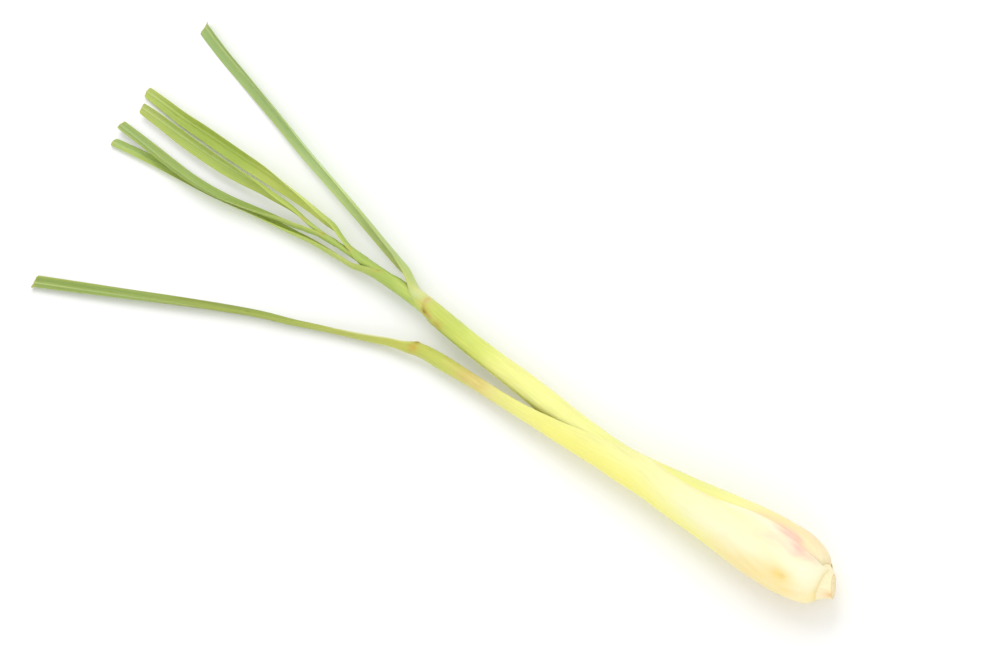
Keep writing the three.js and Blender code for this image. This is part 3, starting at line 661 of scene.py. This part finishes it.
def leaf_material(name, stops, blade_stops=None, seed=0.0, sss=0.22):
    """stops: (x in mm, colour) along the leaf; the second list is for the leaf's upper face."""
    N = Nodes(name)
    lx, lu, side = N.attr("lx"), N.attr("lu"), N.attr("face")
    flow = N.attr("flow", True)
    span = 400.0
    # colour along the leaf, with the change of colour running further along some veins than others
    fibre = N.noise(N.scaled(flow, (0.035, 1.9, 1.0)), 1.0, 4.0, 0.6)
    broad = N.noise(N.scaled(flow, (0.05, 0.12, 0.2)), 1.0, 3.0, 0.5, 0.3)
    shift = N.math("MULTIPLY_ADD", N.math("SUBTRACT", fibre, 0.5), 26.0, N.math("MULTIPLY", N.math("SUBTRACT", broad, 0.5), 30.0))
    place = N.math("DIVIDE", N.math("ADD", lx, N.math("MULTIPLY", shift, N.range(lx, 20, 90))), span)
    col = N.ramp(place, [(x / span, c) for x, c in stops], "LINEAR")
    if blade_stops:
        colb = N.ramp(place, [(x / span, c) for x, c in blade_stops], "LINEAR")
        col = N.mix(side, col, colb)
    # veins: pale and dark lines
    vein = N.attr("vein")
    vein_on = N.attr("veinon")
    line = N.range(vein, 0.30, 1.0)
    fine = N.noise(N.scaled(flow, (0.06, 5.2, 2.0)), 1.0, 2.0, 0.5)
    col = N.mix(N.math("MULTIPLY", line, N.math("MULTIPLY", vein_on, 0.30)), col, (1.0, 1.0, 0.80), "SOFT_LIGHT")
    streak = N.range(lx, 15, 110, 0.4, 1.0)
    col = N.mix(N.math("MULTIPLY", N.range(fine, 0.62, 0.35), N.math("MULTIPLY", streak, 0.26)), col, N.mix(0.5, col, (0.10, 0.16, 0.02)), "MIX")
    col = N.mix(N.math("MULTIPLY", N.range(fibre, 0.5, 0.8), 0.30), col, N.mix(0.45, col, (1.0, 1.0, 0.72)), "MIX")
    col = N.mix(N.math("MULTIPLY", N.range(broad, 0.55, 0.25), 0.22), col, N.mix(1.0, col, (0.86, 0.80, 0.62), "MULTIPLY"), "MIX")
    # masks laid on the mesh
    band = N.noise(N.scaled(flow, (0.012, 0.55, 1.0)), 1.0, 2.0, 0.5)
    col = N.mix(N.math("MULTIPLY", N.range(band, 0.48, 0.68), N.math("MULTIPLY", vein_on, 0.34)), col, N.mix(0.55, col, (0.62, 0.66, 0.16)), "MIX")
    col = N.mix(N.math("MULTIPLY", N.attr("midrib"), 0.40), col, N.mix(0.5, col, (0.80, 0.95, 0.50)))
    col = N.mix(N.attr("m_green"), col, rgb(226, 232, 132))
    # pale marks, among them painted highlights
    col = N.mix(N.attr("m_pale_and_highlight"), col, rgb(255, 253, 226))
    # painted bounce light on the bulb's lower side
    col = N.mix(N.attr("m_painted_bounce"), col, rgb(255, 247, 128))
    # warm tints, with painted fill and bounce light among them
    col = N.mix(N.attr("m_warm_and_fill"), col, rgb(255, 227, 146))
    pink = N.math("MULTIPLY", N.attr("m_pink"), N.range(fibre, 0.30, 0.62, 0.72, 1.0), clamp=True)
    col = N.mix(pink, col, rgb(250, 167, 172))
    col = N.mix(N.math("MULTIPLY", N.attr("m_tan"), N.range(N.noise(N.scaled(flow, (0.25, 0.9, 1.0)), 1.0, 4.0, 0.6), 0.34, 0.66, 0.45, 1.0)), col, rgb(204, 164, 66))
    # brown marks, with a painted crease shadow among them
    col = N.mix(N.math("MULTIPLY", N.attr("m_brown_and_crease_shade"), N.range(N.noise(N.scaled(flow, (0.8, 1.6, 1.0)), 1.0, 4.0, 0.65), 0.36, 0.60, 0.35, 1.0)), col, rgb(138, 96, 2))
    bsdf = N.bsdf
    N.put(bsdf.inputs["Base Color"], col)
    # a fibrous satin skin
    ridge = N.noise(N.scaled(flow, (0.05, 3.4, 1.0)), 1.0, 3.0, 0.55)
    grain = N.noise(N.scaled(flow, (1.6, 3.0, 3.0)), 1.0, 3.0, 0.6)
    height = N.math("MULTIPLY_ADD", grain, 0.35, ridge)
    N.put(bsdf.inputs["Normal"], N.bump(height, 0.35, 0.00022))
    N.put(bsdf.inputs["Roughness"], N.range(N.math("MULTIPLY_ADD", broad, 0.4, fibre), 0.4, 1.1, 0.36, 0.52, False))
    bsdf.inputs["IOR"].default_value = 1.42
    bsdf.inputs["Specular IOR Level"].default_value = 0.42
    bsdf.inputs["Subsurface Weight"].default_value = sss
    bsdf.inputs["Subsurface Radius"].default_value = (1.0, 0.75, 0.28)
    bsdf.inputs["Subsurface Scale"].default_value = 0.0016
    return N.mat


STOPS = {
    "outer_leaf": (
        [(0, rgb(254, 242, 198)), (14, rgb(255, 251, 212)), (26, rgb(255, 249, 204)), (38, rgb(254, 249, 196)), (52, rgb(254, 251, 190)), (70, rgb(254, 251, 178)), (90, rgb(253, 250, 170)), (115, rgb(251, 248, 154)),
         (140, rgb(244, 242, 142)), (156, rgb(236, 232, 134)), (170, rgb(216, 210, 112)), (182, rgb(202, 212, 98)), (204, rgb(192, 196, 88)), (225, rgb(178, 187, 90)), (260, rgb(158, 175, 78)),
         (300, rgb(142, 160, 68)), (318, rgb(146, 168, 82)), (350, rgb(142, 166, 82)), (400, rgb(148, 168, 90))],
        None),
    "second_leaf": (
        [(0, rgb(253, 238, 196)), (20, rgb(253, 238, 190)), (34, rgb(252, 243, 168)), (50, rgb(251, 248, 156)), (70, rgb(248, 246, 144)), (100, rgb(252, 250, 158)), (135, rgb(253, 252, 156)),
         (158, rgb(246, 246, 144)), (172, rgb(226, 234, 118)), (188, rgb(202, 216, 98)), (203, rgb(206, 214, 104)), (208, rgb(194, 208, 122)), (216, rgb(182, 201, 118)), (232, rgb(170, 192, 120)), (252, rgb(168, 191, 118)),
         (270, rgb(182, 208, 138)), (290, rgb(180, 208, 144)), (312, rgb(166, 195, 126)), (340, rgb(160, 188, 118)), (400, rgb(152, 180, 106))],
        None),
    # third leaf: from about 260 mm on, its colour is painted lighter to cancel the shade of the blades above it
    "third_leaf": (
        [(0, rgb(252, 240, 200)), (150, rgb(240, 240, 150)), (205, rgb(204, 220, 110)), (226, rgb(172, 196, 92)), (238, rgb(180, 198, 100)), (254, rgb(184, 202, 106)), (276, rgb(178, 202, 92)), (300, rgb(184, 208, 100)), (340, rgb(184, 208, 104)), (375, rgb(180, 206, 110)), (400, rgb(148, 172, 92))], None),
    # fourth leaf: the band from 280 to 324 mm is painted lighter where its face turns away from the light
    "fourth_leaf": (
        [(0, rgb(252, 240, 200)), (150, rgb(240, 240, 150)), (225, rgb(190, 208, 102)), (240, rgb(172, 196, 92)), (262, rgb(182, 202, 102)), (280, rgb(214, 229, 130)), (304, rgb(216, 231, 128)), (324, rgb(190, 213, 104)), (350, rgb(174, 198, 88)), (378, rgb(180, 202, 100)), (400, rgb(176, 194, 102))], None),
    "fifth_leaf": (
        [(0, rgb(252, 240, 200)), (150, rgb(240, 240, 150)), (240, rgb(186, 206, 98)), (268, rgb(168, 192, 94)), (300, rgb(150, 176, 84)), (350, rgb(146, 172, 92)), (400, rgb(146, 172, 98))], None),
    "inner_leaf": (
        [(0, rgb(252, 240, 200)), (150, rgb(240, 240, 150)), (250, rgb(204, 220, 112)), (285, rgb(182, 202, 98)), (320, rgb(174, 196, 96)), (360, rgb(168, 190, 96)), (400, rgb(174, 190, 102))], None),
}


def masks(name, X, U, W, T):
    """Soft marks on the leaf, 0 to 1: its own flushes, tints and marks, with painted highlights, painted bounce and
    fill light and a painted crease shadow among them. X and U are each point's place along and across, W the half
    width there, T what is left to the cut.
    """
    z = np.zeros_like(X)
    m = dict(m_pale_and_highlight=z.copy(), m_warm_and_fill=z.copy(), m_pink=z.copy(), m_tan=z.copy(), m_brown_and_crease_shade=z.copy(), m_green=z.copy(), m_painted_bounce=z.copy())
    e = W - U                                                 # from one margin
    f = W + U                                                 # from the other
    if name == "outer_leaf":
        # the flush along the margin that shows, and its haze on the sheath under it
        n = 1 + 0.25 * wave_noise(301, X, U, 9, 3)
        m["m_pink"] += 0.66 * np.exp(-((e - 0.9) / 2.3) ** 2) * smooth(9.0, 15.0, X) * smooth(29, 19, X) * n
        line = at([[8, 1.6], [11, 2.6], [16, 4.9], [20, 5.7], [26, 6.4], [34, 7.0]], X)
        m["m_pink"] += 0.25 * np.exp(-((e - line) / mix(1.6, 2.4, smooth(10, 24, X))) ** 2) * smooth(5.0, 10, X) * smooth(36, 20, X) * n
        m["m_pink"] += 0.12 * np.exp(-((e - 1.0) / 1.6) ** 2) * smooth(5.0, 7.5, X) * smooth(15, 11, X)
        # painted fill: the end of the bulb is lightened and warmed
        m["m_warm_and_fill"] += 0.10 * smooth(9, 3, X)
        m["m_pink"] += 0.22 * np.exp(-(e / 0.7) ** 2) * smooth(48, 56, X) * smooth(90, 78, X)
        # the pale ridge between them, painted as a highlight line
        line = at([[13, 2.4], [17, 3.2], [21, 3.6], [28, 2.2], [36, 1.2], [48, 0.8]], X)
        m["m_pale_and_highlight"] += 0.60 * np.exp(-((e - line) / 1.1) ** 2) * smooth(19, 25, X) * smooth(52, 38, X)
        # painted highlights: pale bands along the top of the bulb and near its end
        m["m_pale_and_highlight"] += 0.7 * blob(X, U, 7.5, 15.5, 6.0, 6.0) + 0.50 * blob(X, U, 40, 14.5, 26, 5.5)
        # orange-cream low on the bulb, partly its own tint and partly painted bounce light, and the bruise
        low = smooth(17, 8, U) * smooth(-24, -14, U)
        m["m_warm_and_fill"] += 0.66 * low * smooth(3, 11, X) * smooth(58, 26, X) * (1 + 0.25 * wave_noise(302, X, U, 18, 6))
        # painted bounce light: saturated yellow laid over the lower side of the bulb
        m["m_painted_bounce"] += 0.85 * smooth(14, 2, U) * smooth(-24, -14, U) * smooth(26, 52, X) * smooth(150, 120, X)
        m["m_warm_and_fill"] += 0.66 * blob(X, U, 13.6, 14.6, 4.2, 2.8) + 0.35 * blob(X, U, 19, 14.0, 6.5, 4.6)
        # painted fill: the base rim, turned away from the light, is lightened and warmed
        m["m_warm_and_fill"] += 0.55 * smooth(3.9, 2.9, X)
        m["m_tan"] += 0.34 * blob(X, U, 12.9, 14.6, 1.1, 0.8) + 0.16 * blob(X, U, 15.2, 14.2, 2.6, 1.8)
        m["m_warm_and_fill"] += 0.35 * blob(X, U, 4.0, 3.5, 2.2, 4.0)
        # brownish streaks where the sheath hangs free, and the collar
        m["m_tan"] += 0.27 * smooth(155, 164, X) * smooth(180, 170, X) * smooth(0.0, 3.0, U) * (0.8 + 0.4 * wave_noise(303, X, U, 16, 1.6))
        m["m_pink"] += 0.14 * smooth(150, 160, X) * smooth(178, 168, X) * smooth(-1, 3, U)
        m["m_tan"] += 0.32 * np.exp(-(e / 0.8) ** 2) * smooth(170, 182, X) * smooth(204, 196, X)
        m["m_tan"] += 0.92 * blob(X, e, 198.3, 2.9, 1.8, 1.6) + 0.30 * blob(X, e, 197, 4.5, 3.0, 2.0)
        m["m_brown_and_crease_shade"] += 0.90 * blob(X, e, 197.6, 1.0, 0.9, 0.6) + 0.25 * blob(X, e, 199.5, 2.0, 1.0, 0.5) + 0.25 * blob(X, e, 191, 2.2, 1.4, 0.4)
        m["m_pale_and_highlight"] += 0.55 * np.exp(-(e / 0.5) ** 2) * smooth(198, 202, X) * smooth(240, 222, X)
        m["m_tan"] += 0.20 * np.exp(-(e / 0.35) ** 2) * smooth(120, 150, X) * smooth(205, 195, X) + 0.2 * np.exp(-(f / 0.35) ** 2) * smooth(150, 200, X)
        for cx, cu, r in ((262, 1.6, 0.8), (276, -2.2, 0.6), (301, 0.8, 0.7), (304.5, 1.9, 0.5), (338, -1.4, 0.6)):
            m["m_brown_and_crease_shade"] += 0.42 * blob(X, U, cx, cu, r * 1.8, r * 0.6)
    if name == "second_leaf":
        seam = (at(LEAVES["outer_leaf"]["wrap"], X, 1) - 182.0) * DEG * W / (174 * DEG)
        s = U - seam
        n = 1 + 0.25 * wave_noise(311, X, U, 9, 3)
        m["m_pink"] += 0.54 * np.exp(-((s - 0.1) / 2.1) ** 2) * smooth(10.0, 15.5, X) * smooth(28, 18, X) * n
        m["m_pink"] += 0.30 * np.exp(-((s - 0.6) / 1.7) ** 2) * smooth(19, 24, X) * smooth(42, 30, X)
        m["m_pink"] += 0.18 * np.exp(-((s - 0.4) / 1.1) ** 2) * smooth(5, 8, X) * smooth(14, 11, X)
        m["m_warm_and_fill"] += 0.16 * smooth(0.5, 8, s) * smooth(46, 24, X) + 0.30 * blob(X, s, 26, 4.5, 10, 4)
        m["m_pink"] += 0.10 * smooth(1.5, 9, s) * smooth(34, 14, X)
        m["m_green"] += 0.42 * smooth(34, 60, X) * smooth(124, 96, X) * smooth(0, 4, s)
        # painted fill: the base rim, turned away from the light, is lightened and warmed
        m["m_warm_and_fill"] += 0.35 * smooth(6.2, 5.2, X)
        # painted shadow: a dark line down the deep end of the crease between the two sheaths
        m["m_brown_and_crease_shade"] += 0.42 * np.exp(-((s - 0.10) / 0.28) ** 2) * smooth(12.0, 7.5, X)
        # collar: a thin tan ridge across, a golden patch and brown marks along the lower margin
        m["m_tan"] += 0.50 * np.exp(-((X - 204.4 - 0.10 * (U + 3.5) ** 2 * -0.3) / 0.75) ** 2) * smooth(-8.2, -6.5, U) * smooth(1.0, -1.5, U)
        m["m_pink"] += 0.22 * blob(X, U, 204.2, -4.2, 1.4, 3.2)
        m["m_tan"] += 0.20 * blob(X, U, 204.0, -5.4, 3.0, 3.0) + 0.34 * blob(X, U, 203.0, -7.4, 1.0, 1.1)
        m["m_brown_and_crease_shade"] += 0.22 * blob(X, U, 203.2, -7.7, 0.8, 0.8) + 0.92 * blob(X, U, 201.9, -9.0, 1.5, 0.95)
        m["m_tan"] += 0.85 * blob(X, U, 200.4, -9.2, 2.6, 1.2) + 0.22 * blob(X, U, 200.6, -7.6, 1.8, 1.2)
        m["m_brown_and_crease_shade"] += 0.36 * blob(X, U, 198.6, -9.8, 1.4, 0.7)
        m["m_pink"] += 0.30 * blob(X, U, 197.6, -9.2, 1.2, 0.9)
        m["m_tan"] += 0.90 * blob(X, U, 193.4, -10.2, 2.6, 1.0) + 0.30 * blob(X, U, 192.4, -8.6, 2.6, 1.3)
        m["m_brown_and_crease_shade"] += 0.16 * blob(X, U, 193.8, -10.6, 1.2, 0.5)
        m["m_tan"] += 0.22 * np.exp(-(f / 0.35) ** 2) * smooth(205, 225, X) + 0.22 * np.exp(-(e / 0.35) ** 2) * smooth(205, 225, X)
        m["m_pale_and_highlight"] += 0.26 * blob(X, U, 209.5, -3, 4.5, 3)
    if name in ("third_leaf", "fourth_leaf", "fifth_leaf", "inner_leaf"):
        c0, c1 = DRAW[name]["collar"]
        c = (c0 + c1) / 2 - 2
        g = np.random.default_rng(DRAW[name]["seed"])
        m["m_tan"] += 0.40 * blob(X, e, c, 0.6, 2.6, 1.2) + 0.40 * blob(X, f, c + 1, 0.6, 2.2, 1.2)
        m["m_brown_and_crease_shade"] += 0.50 * blob(X, e, c - 0.5, 0.3, 0.9, 0.5)
        m["m_tan"] += 0.18 * np.exp(-(np.minimum(e, f) / 0.3) ** 2) * smooth(c0, c1, X)
        for _ in range(3):
            cx, cu = g.uniform(c1 + 12, 375), g.uniform(-1.8, 1.8)
            m["m_brown_and_crease_shade"] += 0.35 * blob(X, U, cx, cu, 1.2, 0.35)
    # the cut edge dries pale
    m["m_tan"] += 0.55 * smooth(1.1, 0.0, T)
    return {k: np.clip(v, 0, 1) for k, v in m.items()}


pieces = {}
for name in LEAVES:
    L, co, U, blade = build_leaf(name)
    K, n = U.shape
    m = 2 * n
    faces = leaf_faces(K, m)
    flat = (co.reshape(-1, 3) - ORIGIN) * MM
    if volume(flat, faces) < 0:
        faces = faces[:, ::-1]
    uu = np.concatenate([U, U[:, ::-1]], 1)
    xx = np.repeat(L.xs[:, None], m, 1)
    ww = np.abs(U).max(1)[:, None].repeat(m, 1)
    face = np.concatenate([np.zeros((K, n)), np.ones((K, n))], 1)
    veins = DRAW[name]["veins"]
    vein = 0.5 + 0.5 * np.cos(2 * math.pi * veins * (uu / ww * 0.5 + 0.5))
    veinon = blade[:, None].repeat(m, 1) * 0.7 + 0.3
    attrs = dict(lx=xx, lu=uu, face=face, vein=vein, veinon=veinon)
    attrs.update(masks(name, xx, uu, ww, LEAVES[name]["end"] - xx))
    attrs["midrib"] = np.exp(-(uu / 0.42) ** 2) * blade[:, None]
    flow = np.stack([xx, uu, face * 3 + DRAW[name]["seed"]], -1)
    ob = make_object(name + "_skin", flat, faces.tolist(), attrs, dict(flow=flow))
    stops, upper = STOPS[name]
    ob.data.materials.append(leaf_material(name + "_tissue", stops, upper))
    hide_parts(name)
    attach(ob, "root")
    pieces[name] = ob


# ---- the stem and its root cut ------------------------------------------------------------------
def build_stem():
    sides = 120
    f = np.arange(sides) / sides * 2 * math.pi
    cf, sf = np.cos(f), np.sin(f)

    def ring(x):
        c = axis_point(x)
        r = at(STEM, x)
        # it fills the leaves' bases, most where they leave it last
        r = r + 0.04 * smooth(-2, 1.5, x) + 0.55 * (0.5 - 0.5 * np.cos(f - 45 * DEG)) * np.exp(-((x - 4.7) / 1.5) ** 2)
        r = r * (1 + 0.006 * np.cos(3 * f + 0.6) + 0.004 * np.cos(7 * f))
        return np.stack([np.broadcast_to(x, f.shape), c[..., 1] + cf * r, c[..., 2] + sf * r], -1)

    lo, hi = np.full(sides, -4.0), np.full(sides, 6.0)
    for _ in range(40):
        x = (lo + hi) / 2
        p = ring(x)
        inside = x < STEM_CUT[0] + 0.06 + STEM_CUT_SLOPE[0] * (p[:, 1] - STEM_CUT[1]) + STEM_CUT_SLOPE[1] * (p[:, 2] - STEM_CUT[2])
        lo, hi = np.where(inside, x, lo), np.where(inside, hi, x)
    cut = (lo + hi) / 2
    s_list = np.concatenate([np.array([0.0, 0.05, 0.12, 0.2, 0.32, 0.48, 0.7]), np.arange(1.0, 8.6, 0.35), np.arange(9.0, 28.3, 1.2), [28.2]])
    rings = []
    for s in s_list:
        p = ring(s + cut * (1 - smooth(0, 8.5, s)))
        if s < 0.3:                                      # the rim of the cut is rounded over
            c = axis_point(float(p[:, 0].mean()))
            q = math.sqrt(max(0.0, 1 - (1 - s / 0.3) ** 2))
            d = p[:, 1:] - c[1:]
            p = p.copy()
            p[:, 1:] -= d / np.linalg.norm(d, axis=1)[:, None] * 0.16 * (1 - q)
        rings.append(p)
    co = [r for r in rings]
    centre = np.array(STEM_CUT) + np.array([0.06, 0.0, 0.0])
    inward = np.array([1.0, -STEM_CUT_SLOPE[0], -STEM_CUT_SLOPE[1]])
    inward /= np.linalg.norm(inward)
    face_rings = []
    for t in (0.97, 0.93, 0.88, 0.8, 0.7, 0.58, 0.45, 0.32, 0.2, 0.09):
        p = centre + (rings[0] - centre) * t
        dish = 0.16 * (1 - t ** 4) + 0.05 * math.cos(t * 26)
        p = p + inward * dish                                 # the cut face sinks a little inwards
        face_rings.append(p)
    allr = face_rings[::-1] + co
    K = len(allr)
    pts = np.concatenate(allr)
    e = axis_point(28.6)
    pts = np.concatenate([pts, [centre + inward * 0.2, e]])
    faces = []
    for k in range(K - 1):
        for i in range(sides):
            j = (i + 1) % sides
            faces.append([k * sides + i, k * sides + j, (k + 1) * sides + j, (k + 1) * sides + i])
    a, b = K * sides, K * sides + 1
    for i in range(sides):
        j = (i + 1) % sides
        faces.append([a, j, i])
        faces.append([b, (K - 1) * sides + i, (K - 1) * sides + j])
    nf = len(face_rings)
    cutface = np.concatenate([np.ones(nf * sides), np.zeros((K - nf) * sides), [1.0, 0.0]])
    ro = np.concatenate([np.repeat(np.array([0.09, 0.2, 0.32, 0.45, 0.58, 0.7, 0.8, 0.88, 0.93, 0.97]), sides), np.ones((K - nf) * sides), [0.0, 1.0]])
    first = np.zeros(len(pts))
    first[nf * sides:(nf + 3) * sides] = 1.0
    ang = np.concatenate([np.tile(f, K), [0.0, 0.0]])
    return pts, faces, cutface, ro, first, ang


pts, faces, cutface, ro, rim, ang = build_stem()
flat = (pts - ORIGIN) * MM
q = np.array([fc for fc in faces if len(fc) == 4])
if volume(flat, q) < 0:
    faces = [fc[::-1] for fc in faces]
flow = np.stack([pts[:, 0], ang * 5.0, ro * 6.0], -1)
stain = np.exp(-(((pts - np.array([-2.3, 3.6, 15.2])) / np.array([1.3, 0.9, 1.2])) ** 2).sum(1)) + 0.4 * np.exp(-(((pts - np.array([-0.6, 4.6, 14.6])) / np.array([2.0, 1.2, 2.0])) ** 2).sum(1))
stem = make_object("base_stem_skin", flat, faces, dict(cutface=cutface, ro=ro, rim=rim, lx=pts[:, 0], stain=stain), dict(flow=flow))


def stem_material():
    N = Nodes("base_stem_tissue")
    flow = N.attr("flow", True)
    cutf, ro_, rim_ = N.attr("cutface"), N.attr("ro"), N.attr("rim")
    n1 = N.noise(N.scaled(flow, (0.3, 1.2, 0.6)), 1.0, 4.0, 0.6)
    n2 = N.noise(N.scaled(flow, (0.1, 0.5, 1.6)), 1.0, 3.0, 0.55)
    skin = N.mix(N.range(n1, 0.3, 0.7), rgb(252, 243, 204), rgb(250, 232, 182))
    ring = N.ramp(N.math("MULTIPLY_ADD", N.math("SUBTRACT", n2, 0.5), 0.12, ro_), [
        (0.0, rgb(247, 226, 168)), (0.25, rgb(250, 235, 188)), (0.42, rgb(240, 212, 150)), (0.6, rgb(251, 237, 194)), (0.78, rgb(243, 218, 160)), (0.9, rgb(250, 234, 188)), (1.0, rgb(226, 188, 124))])
    col = N.mix(cutf, skin, ring)
    col = N.mix(N.math("MULTIPLY", rim_, 0.65), col, rgb(218, 180, 120))
    col = N.mix(N.math("MULTIPLY", N.attr("stain"), 0.55, clamp=True), col, rgb(232, 170, 88))
    N.put(N.bsdf.inputs["Base Color"], col)
    N.put(N.bsdf.inputs["Roughness"], N.range(n1, 0.3, 0.7, 0.4, 0.6))
    N.put(N.bsdf.inputs["Normal"], N.bump(N.math("ADD", n1, n2), 0.4, 0.0003))
    N.bsdf.inputs["Specular IOR Level"].default_value = 0.4
    N.bsdf.inputs["Subsurface Weight"].default_value = 0.25
    N.bsdf.inputs["Subsurface Radius"].default_value = (1.0, 0.7, 0.35)
    N.bsdf.inputs["Subsurface Scale"].default_value = 0.0018
    return N.mat


stem.data.materials.append(stem_material())
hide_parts("base_stem")
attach(stem, "root")
pieces["base_stem"] = stem
